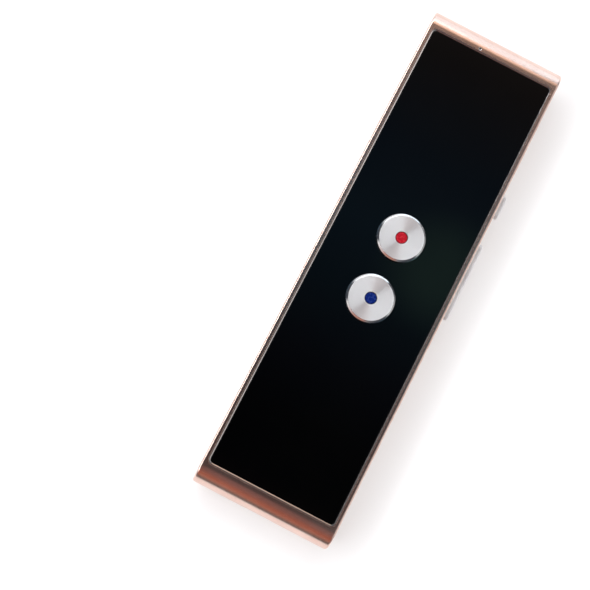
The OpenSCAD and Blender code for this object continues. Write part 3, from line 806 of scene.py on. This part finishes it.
def make_bezel():
    """A ring with a satin crown, and a bright cut along its inner edge."""
    top = bezel_high.z
    w = 2 * (panel_high.x + FIT)
    l = 2 * (panel_high.y + FIT)
    r = PANEL_R + FIT
    profile = [
        (0, bezel_low.z), (0, top - BEZEL_CUT_H), (BEZEL_CUT_W, top),
        (BEZEL_W - BEZEL_OUTER_CUT, top), (BEZEL_W, top - BEZEL_OUTER_CUT), (BEZEL_W, bezel_low.z),
    ]
    rings = [along_z(round_rect(w + 2 * d, l + 2 * d, r + d), z) for d, z in profile]

    def finish_of(face):
        return int(past_outline(face.calc_center_median(), w, l, r) < BEZEL_CUT_W)

    return piece(loft(rings, closed=True), "bezel_ring", "casing",
                 [finishes["casing_metal"], finishes["bezel_metal"]],
                 ["front_bezel"], pick=finish_of)


def make_panel():
    """The front panel, with its outer edge rounded more than the edges of its two holes."""
    outline = round_rect(2 * panel_high.x, 2 * panel_high.y, PANEL_R)
    hole_r = (red_high.x - FLANGE_W) + SLIDE
    holes = together(*[upright(hole_r, *at, panel_low.z - PAST, panel_high.z + PAST, TURN_STEPS)
                       for at in (RED_AT, BLUE_AT)])
    shape = combine(prism(outline, panel_low.z, panel_high.z), "DIFFERENCE", holes)

    def on_face(p):
        return near(p.z, panel_high.z)

    break_edges(shape, PANEL_EDGE, GLASSY_STEPS, lambda p: on_face(p) and abs(p.x) > hole_r)
    break_edges(shape, PANEL_EDGE / 2, ROUND_STEPS, lambda p: on_face(p) and abs(p.x) <= hole_r)
    return piece(shape, "panel_face", "casing", [finishes["panel_gloss"]],
                 ["front_panel"])


def make_button(colour, at):
    """Cap with a spun face, a polished chamfer and a recess for its dot."""
    low, high = span(f"{colour}_button")
    dot_high = span(f"{colour}_button_dot")[1]
    dot_r = dot_high.x
    recess_r = dot_r + FIT
    floor = high.z - DOT_RECESS
    r = high.x - FLANGE_W
    top = high.z
    e = CHAMFER_ROUND
    # The share e rounds the chamfer's two edges
    profile = [
        (high.x, low.z), (high.x, low.z + FLANGE_T), (r, low.z + FLANGE_T),
        (r, top - CHAMFER_H * (1 + e)), (r - CHAMFER_W * e, top - CHAMFER_H * (1 - e)),
        (r - CHAMFER_W * (1 - e), top - CHAMFER_H * e), (r - CHAMFER_W * (1 + e), top),
        (recess_r + BUTTON_BREAK, top), (recess_r, top - BUTTON_BREAK), (recess_r, floor),
    ]
    piece(turned(profile, at), f"{colour}_button_cap", f"{colour}_button",
          [finishes["button_metal"], finishes[f"{colour}_spun"]], [f"{colour}_button"],
          pick=lambda face: int(near(face.calc_center_median().z, top)), sharp=CRISP)
    crown = dot_high.z
    dome = [(dot_r, floor), (dot_r, crown - DOT_BULGE), (dot_r - DOT_ROUND, crown - DOT_BULGE / 2)]
    dome += [(dot_r * share, crown - depth) for share, depth in DOT_CROWN]
    piece(turned(dome, at, DOT_STEPS), f"{colour}_dot_filling", f"{colour}_button",
          [finishes[f"{colour}_enamel"]], [f"{colour}_button_dot"])


# ---------------------------------------------------------------- side keys

def key_cap(node, x0):
    """The part of a key that fills its slot, with a rounded outer face."""
    low, high = span(node)
    centre = ((low.y + high.y) / 2, key_z)
    length, height = key_length(node), key_height(node)
    rings = [along_x(bar(length, height, centre), x0)]
    for k in range(EDGE_STEPS + 1):
        turn = math.radians(90 * k / EDGE_STEPS)
        inset = KEY_ROUND * (1 - math.cos(turn))
        x = high.x - KEY_ROUND + KEY_ROUND * math.sin(turn)
        rings.append(along_x(bar(length - 2 * inset, height - 2 * inset, centre), x))
    return loft(rings)


def nub(x0, x1, y):
    """The round stud behind a key that presses a snap dome."""
    outline = arc(y, key_z, NUB_D / 2, 0, 360, NUB_STEPS)[:-1]
    return loft([along_x(outline, x0), along_x(outline, x1)])


# The keys' lugs: their two faces and their middle. The power key's nub stands inside them.
lug_x0 = span("power_dome")[1].x + SLIDE + KEY_NUB
lug_x1 = lug_x0 + KEY_LUG_T
lug_x = lug_x0 + KEY_LUG_T / 2


def make_power_key():
    """The power key: a cap, a lug all round behind it, and one nub."""
    low, high = span("power_key")
    middle = ((low.y + high.y) / 2, key_z)
    outline = bar(high.y - low.y, high.z - low.z, middle)
    lug = loft([along_x(outline, lug_x0), along_x(outline, lug_x1)])
    shape = combine(key_cap("power_key", lug_x), "UNION", lug, nub(low.x, lug_x, middle[0]))
    return piece(shape, "power_key_cap", "power_key", [finishes["key_metal"]],
                 ["power_key"])


def make_volume_key():
    """The volume rocker: a cap, a lug above and below, two nubs, and a fulcrum on a web."""
    low, high = span("volume_key")
    y = (low.y + high.y) / 2
    lugs = block((lug_x0, y - ROCKER_LUG_L / 2, low.z), (lug_x1, y + ROCKER_LUG_L / 2, high.z))
    half = key_height("volume_key") / 2
    axis_x = low.x + FULCRUM_R
    fulcrum = upright(FULCRUM_R, axis_x, y, key_z - half, key_z + half, NUB_STEPS)
    web_w = FULCRUM_R - WEB_INSET_Y
    web_h = half - WEB_INSET_Z
    web = block((axis_x, y - web_w, key_z - web_h), (lug_x, y + web_w, key_z + web_h))
    nub_x = span("power_key")[0].x
    nubs = [nub(nub_x, lug_x, y + side * ROCKER_NUB_Y) for side in (-1, 1)]
    shape = combine(key_cap("volume_key", lug_x0), "UNION", lugs, *nubs, web, fulcrum)
    return piece(shape, "volume_key_cap", "volume_key", [finishes["key_metal"]],
                 ["volume_key"])


# ---------------------------------------------------------------- back

speaker_low, speaker_high = span("speaker_mesh")
speaker_y = (speaker_low.y + speaker_high.y) / 2


def make_back_cover():
    """The flat cover, with four screw seats, the speaker's grille and the mesh's pocket."""
    top = cover_high.z
    head_r = SCREW_HEAD_D / 2 + FIT
    shank_r = SCREW_D / 2 + FIT
    seat_z = span("back_cover_screws")[0].z + SCREW_HEAD_H
    seat = [(head_r, -PAST), (head_r, seat_z), (shank_r, seat_z), (shank_r, top + PAST)]
    cuts = [turned(seat, (x * screw_x, y * screw_y), SEAT_STEPS) for x, y in four_corners]
    for i in range(GRILLE_COLUMNS):
        for j in range(GRILLE_ROWS):
            x = (i - (GRILLE_COLUMNS - 1) / 2) * GRILLE_PITCH
            y = speaker_y + (j - (GRILLE_ROWS - 1) / 2) * GRILLE_PITCH
            cuts.append(upright(GRILLE_D / 2, x, y, -PAST, top + PAST, GRILLE_STEPS))
    pocket = block((speaker_low.x - FIT, speaker_low.y - FIT, top - MESH_POCKET),
                   (speaker_high.x + FIT, speaker_high.y + FIT, top + PAST))
    plate = prism(round_rect(2 * cover_high.x, 2 * cover_high.y, COVER_R), 0, top)
    shape = combine(plate, "DIFFERENCE", together(*cuts), pocket)
    break_edges(shape, COVER_BREAK, ROUND_STEPS, lambda p: near(p.z, 0))
    return piece(shape, "back_cover_plate", "casing", [finishes["cover_metal"]],
                 ["back_cover"])


def make_cover_screws():
    """Four screws with a cross in their heads, in one piece as the solid is."""
    low, high = span("back_cover_screws")
    r = SCREW_HEAD_D / 2
    shank_r = SCREW_D / 2
    under = low.z + SCREW_HEAD_H
    profile = [(r - inset, low.z + height) for inset, height in HEAD_ROUND]
    profile += [(r, under), (shank_r, under),
                (shank_r, high.z - SCREW_TIP), (shank_r - SCREW_TIP, high.z)]
    made = []
    for side_x, side_y in four_corners:
        x, y = side_x * screw_x, side_y * screw_y
        arms = [block((x - w / 2, y - l / 2, low.z - PAST), (x + w / 2, y + l / 2, low.z + CROSS_DEPTH))
                for w, l in ((CROSS_W, CROSS_T), (CROSS_T, CROSS_W))]
        made.append(combine(turned(profile, (x, y), SCREW_STEPS), "DIFFERENCE", *arms))
    return piece(together(*made), "cover_screw_set", "casing", [finishes["dark_screw"]],
                 ["back_cover_screws"])


def make_speaker_weave():
    """Woven mesh: its lower face rises and falls where the wires cross."""
    step = WEAVE_PITCH / WEAVE_STEPS
    nx = round((speaker_high.x - speaker_low.x) / step)
    ny = round((speaker_high.y - speaker_low.y) / step)
    made = bmesh.new()
    rows = []
    for j in range(ny + 1):
        row = []
        for i in range(nx + 1):
            x = speaker_low.x + (speaker_high.x - speaker_low.x) * i / nx
            y = speaker_low.y + (speaker_high.y - speaker_low.y) * j / ny
            u, v = math.pi * x / WEAVE_PITCH, math.pi * y / WEAVE_PITCH
            wire = max(abs(math.sin(u)) * (0.5 + 0.5 * math.cos(v)),
                       abs(math.sin(v)) * (0.5 - 0.5 * math.cos(u)))
            row.append(made.verts.new((x, y, speaker_low.z + WEAVE_DEPTH * (1 - wire))))
        rows.append(row)
    for a, b in zip(rows, rows[1:]):
        for i in range(nx):
            made.faces.new((a[i], b[i], b[i + 1], a[i + 1]))
    rim = [edge for edge in made.edges if len(edge.link_faces) == 1]
    sides = bmesh.ops.extrude_edge_only(made, edges=rim)["geom"]
    for part in sides:
        if isinstance(part, bmesh.types.BMVert):
            part.co.z = speaker_high.z
    top = [edge for edge in made.edges if len(edge.link_faces) == 1]
    bmesh.ops.holes_fill(made, edges=top, sides=0)
    bmesh.ops.recalc_face_normals(made, faces=made.faces)
    return piece(made, "speaker_weave", "casing", [finishes["mesh_steel"]],
                 ["speaker_mesh"])


# ---------------------------------------------------------------- charging socket

def make_socket():
    """The charging socket: a sleeve, a tongue and the contacts under the tongue."""
    low, high = span("charging_socket_shell")
    outer = loft([along_y(socket_outline(0), y) for y in (low.y, high.y)])
    inner = loft([along_y(socket_outline(-SOCKET_WALL), y)
                  for y in (low.y - PAST, high.y - SOCKET_WALL)])
    sleeve = combine(outer, "DIFFERENCE", inner)
    break_edges(sleeve, SOCKET_BREAK, BREAK_STEPS, lambda p: p.y < high.y - 2 * SOCKET_WALL)
    piece(sleeve, "socket_sleeve", "casing", [finishes["socket_steel"]],
          ["charging_socket_shell"])

    tongue_low, tongue_high = span("charging_socket_tongue")
    base_y = tongue_high.y - TONGUE_BASE_L
    half = (high.x - low.x) / 2 - TONGUE_SIDE_GAP
    z1 = high.z - SOCKET_WALL - TONGUE_TOP_GAP
    z0 = z1 - TONGUE_T
    base = loft([along_y(socket_outline(-SOCKET_WALL), y) for y in (base_y, tongue_high.y)])
    blade = block((-half, tongue_low.y, z0), (half, base_y + TONGUE_LAP, z1))
    tongue = combine(base, "UNION", blade)
    break_edges(tongue, TONGUE_BREAK, BREAK_STEPS, lambda p: near(p.y, tongue_low.y))
    piece(tongue, "socket_tongue_blade", "casing", [finishes["socket_plastic"]],
          ["charging_socket_tongue"])

    strips = []
    for k in range(CONTACTS):
        x = (k - (CONTACTS - 1) / 2) * CONTACT_PITCH
        strips.append(block((x - CONTACT_W / 2, tongue_low.y + CONTACT_INSET, z0 - CONTACT_T),
                            (x + CONTACT_W / 2, base_y, z0 + CONTACT_T)))
    contacts = together(*strips)
    break_edges(contacts, CONTACT_BREAK, BREAK_STEPS, lambda p: p.z < z0)
    piece(contacts, "socket_contacts", "casing", [finishes["contact_gold"]])


make_casing()
make_bezel()
make_panel()
make_button("red", RED_AT)
make_button("blue", BLUE_AT)
make_power_key()
make_volume_key()
make_back_cover()
make_cover_screws()
make_speaker_weave()
make_socket()

# The solids that stay get their slot's finish
for part in frame["record"]["subparts"]:
    node = frame["nodes"][part["node"]]
    if not node.hide_render:
        for holder in node.material_slots:
            holder.link = "OBJECT"
            holder.material = finishes[part["material_slot"]]


# ---------------------------------------------------------------- floor, light and camera

# The floor's side in metres, and how far it lies below the object and how far its opening
# stays inside the object's outline, in millimetres
FLOOR_SIDE = 3.0
FLOOR_DROP = 0.05
OPENING_INSET = 3.0

# The floor's colour, and what it shines by itself to the camera and in reflections
FLOOR_WHITE = (0.76, 0.76, 0.76)
FLOOR_FILL = 0.33


def floor_paint():
    """Matt pale paint, clear from below."""
    paint = Finish("floor_paint")
    cloud = paint.noise(60, 2)
    paint.tint(cloud, FLOOR_WHITE, 0.99)
    paint.set("Roughness", paint.vary(cloud, 0.75, 0.85))
    paint.set("Specular IOR Level", 0.2)
    path = paint.node("ShaderNodeLightPath").outputs
    shows = paint.maths("MAXIMUM", path["Is Camera Ray"], path["Is Glossy Ray"])
    paint.set("Emission Color", (1, 1, 1, 1))
    paint.set("Emission Strength", paint.maths("MULTIPLY", shows, FLOOR_FILL))
    clear = paint.node("ShaderNodeBsdfTransparent").outputs[0]
    back = paint.node("ShaderNodeNewGeometry").outputs["Backfacing"]
    seen = paint.node("ShaderNodeMixShader", {0: back, 1: paint.shader.outputs[0], 2: clear})
    paint.tree.links.new(seen.outputs[0], paint.output.inputs["Surface"])
    return paint.material


def make_floor():
    """A pale floor. It is open under the casing, where nothing shows, so that the
    casing's back is lit and can be looked at from below."""
    half = FLOOR_SIDE / MM / 2
    made = bmesh.new()
    rings = []
    for x, y in ((half, half), (case_x - OPENING_INSET, end_y - OPENING_INSET)):
        ring = [(x, y), (-x, y), (-x, -y), (x, -y)]
        rings.append([made.verts.new(point) for point in along_z(ring, -FLOOR_DROP)])
    outer, inner = rings
    for i in range(4):
        j = (i + 1) % 4
        made.faces.new((outer[i], outer[j], inner[j], inner[i]))
    mesh = bpy.data.meshes.new("floor")
    made.to_mesh(mesh)
    made.free()
    mesh.transform(Matrix.Scale(MM, 4))
    mesh.materials.append(floor_paint())
    floor = bpy.data.objects.new("floor", mesh)
    scene.collection.objects.link(floor)


# The studio is made of rings round the object, which its metal reflects. A ring lists what
# shines at each bearing, from the direction of -X round through -Y, +X and +Y, and back to
# -X, in degrees.
WALL = (1.30, 1.46, 1.60)
LEFT_BOX = (6.2, 6.2, 6.4)
RIGHT_BOX = (1.5, 1.5, 1.5)
DIM = (0.20, 0.20, 0.21)
DARK = (0.06, 0.065, 0.075)
COPPER = (0.41, 0.14, 0.085)
DUSK = (0.16, 0.145, 0.14)
WARM = (1.40, 1.06, 0.82)
SHADE = (0.12, 0.12, 0.125)
EMBER = (0.31, 0.125, 0.095)
RIGHT_GLOW = (0.6, 0.6, 0.6)
# The stretch that the two lowest rings share
SKIRT = [
    (-6, (0.5, 0.5, 0.5)), (30, (0.33, 0.33, 0.34)), (44, DARK), (66, DARK), (72, WALL), (100, WALL),
    (122, (0.78, 0.78, 0.80)), (148, (0.70, 0.70, 0.72)), (160, DARK), (180, DARK),
]
HORIZON = [
    (-180, DARK), (-150, DARK), (-120, DUSK), (-60, DUSK), (-40, DARK), (-16, DARK),
    SKIRT[0], (13, (0.42, 0.42, 0.42)), *SKIRT[1:],
]
LOW_RING = [
    (-180, DARK), (-160, DARK), (-148, (0.85, 0.82, 0.82)), (-126, (0.66, 0.52, 0.50)),
    (-110, (0.50, 0.26, 0.21)), (-80, (0.44, 0.20, 0.15)), (-64, DIM), (-52, DARK), (-20, DARK),
    *SKIRT,
]
MIDDLE_RING = [
    (-180, LEFT_BOX), (-124, LEFT_BOX), (-114, COPPER), (-66, COPPER), (-56, DIM),
    (-48, RIGHT_BOX), (50, RIGHT_BOX), (60, DIM), (67, DARK), (78, DARK), (82, WALL),
    (92, WALL), (98, LEFT_BOX), (180, LEFT_BOX),
]
HIGH_RING = [
    (-180, SHADE), (-122, SHADE), (-110, EMBER), (-70, EMBER), (-58, DIM), (-48, RIGHT_GLOW),
    (50, RIGHT_GLOW), (60, DIM), (66, DARK), (73, DARK), (79, WARM), (98, WARM),
    (108, SHADE), (180, SHADE),
]
# Each ring, and the heights (the upright part of the direction) between which it takes over
# from what is above it
RINGS = [(HIGH_RING, 0.90, 0.80), (MIDDLE_RING, 0.74, 0.66), (LOW_RING, 0.55, 0.50),
         (HORIZON, 0.34, 0.30)]

# What shines from above, by the slope of the direction along the object's length
OVERHEAD = [
    (-0.30, (0.22, 0.11, 0.10)), (-0.14, (0.10, 0.055, 0.05)), (-0.07, (0.008, 0.008, 0.008)),
    (0.0, (0.015, 0.015, 0.016)), (0.07, (0.03, 0.036, 0.055)), (0.16, (0.046, 0.09, 0.13)),
    (0.235, (0.065, 0.125, 0.185)), (0.33, (0.055, 0.09, 0.14)), (0.45, (0.11, 0.09, 0.085)),
    (0.60, (0.30, 0.20, 0.15)),
]
# What replaces it past slopes to the left and to the right
SIDES = [((-0.03, -0.18), (0.12, 0.115, 0.12)), ((0.16, 0.30), (0.22, 0.23, 0.24))]
# A soft round light, by the slopes of its middle and the distances from it where it fades
GLOW = (0.16, 0.30, 0.27)
GLOW_SLOPE = (0.125, 0.22)
GLOW_FADE = (0.085, 0.015)
# The least upright part of a direction from which a slope is worked out
LEAST_RISE = 0.05


def make_studio():
    """Rings of light and dark round the object. The camera itself sees plain white."""
    scene.world = bpy.data.worlds.new("studio")
    sky = NodeTree(scene.world)

    def colours(value, stops):
        """The colour at a value, from stops of value and colour."""
        first, last = stops[0][0], stops[-1][0]
        share = sky.node("ShaderNodeMapRange", {"Value": value, "From Min": first, "From Max": last})
        made = sky.node("ShaderNodeValToRGB", {0: share.outputs[0]})
        elements = made.color_ramp.elements
        elements.remove(elements[1])
        for k, (at, colour) in enumerate(stops):
            where = (at - first) / (last - first)
            stop = elements.new(where) if k else elements[0]
            stop.position = where
            stop.color = (*colour, 1)
        return made.outputs[0]

    way = sky.node("ShaderNodeTexCoord").outputs["Generated"]
    parts = sky.node("ShaderNodeSeparateXYZ", {0: way}).outputs
    x, y, z = (parts[name] for name in "XYZ")
    bearing = sky.maths("MULTIPLY", sky.maths("ARCTAN2", y, x), 180 / math.pi)
    rise = sky.maths("MAXIMUM", z, LEAST_RISE)
    slope_x = sky.maths("DIVIDE", x, rise)
    slope_y = sky.maths("DIVIDE", y, rise)

    off_glow = sky.node("ShaderNodeCombineXYZ", {
        "X": sky.maths("SUBTRACT", slope_x, GLOW_SLOPE[0]),
        "Y": sky.maths("SUBTRACT", slope_y, GLOW_SLOPE[1]),
    }).outputs[0]
    from_glow = sky.node("ShaderNodeVectorMath", {0: off_glow}, operation="LENGTH").outputs["Value"]
    shine = sky.mix(sky.remap(from_glow, *GLOW_FADE), colours(slope_y, OVERHEAD), GLOW)
    for slopes, colour in SIDES:
        shine = sky.mix(sky.remap(slope_x, *slopes), shine, colour)
    for ring, above, below in RINGS:
        shine = sky.mix(sky.remap(z, above, below), shine, colours(bearing, ring))

    lit = sky.node("ShaderNodeBackground", {"Color": shine}).outputs[0]
    white = sky.node("ShaderNodeBackground", {"Color": (1, 1, 1, 1)}).outputs[0]
    seen = sky.node("ShaderNodeLightPath").outputs["Is Camera Ray"]
    both = sky.node("ShaderNodeMixShader", {0: seen, 1: lit, 2: white}).outputs[0]
    sky.node("ShaderNodeOutputWorld", {"Surface": both})


# Each lamp's name, place and side in metres, and power in watts
LAMPS = [
    ("softbox_above", (-0.35, 0.45, 1.4), 1.2, 2.5),
    ("softbox_right", (0.65, -0.25, 1.0), 0.9, 2.5),
]


def make_lamp(name, place, side, power):
    """A soft square lamp, turned to the object, that shows in no reflection."""
    data = bpy.data.lights.new(name, "AREA")
    data.size = side
    data.energy = power
    lamp = bpy.data.objects.new(name, data)
    lamp.location = place
    lamp.rotation_euler = (-Vector(place)).to_track_quat("-Z", "Y").to_euler()
    lamp.visible_glossy = False
    lamp.visible_camera = False
    scene.collection.objects.link(lamp)


# The camera, as fitted to the photograph: focal length in pixels of its image, place in
# millimetres and turn in degrees
IMAGE_PX = 590
FOCAL_PX = 900
SENSOR_MM = 36
CAMERA_MM = (-15.369, -44.273, 237.815)
CAMERA_TURN = (6.3973, -2.7199, 27.3365)
CLIP_MM = 10


def make_camera():
    """The camera at the photograph's viewing angle."""
    data = bpy.data.cameras.new("camera")
    data.sensor_width = SENSOR_MM
    data.lens = SENSOR_MM * FOCAL_PX / IMAGE_PX
    data.clip_start = CLIP_MM * MM
    camera = bpy.data.objects.new("camera", data)
    camera.location = Vector(CAMERA_MM) * MM
    camera.rotation_euler = Euler([math.radians(a) for a in CAMERA_TURN], "XYZ")
    scene.collection.objects.link(camera)
    scene.camera = camera


make_floor()
make_studio()
for lamp in LAMPS:
    make_lamp(*lamp)
make_camera()
scene.view_settings.view_transform = "Standard"
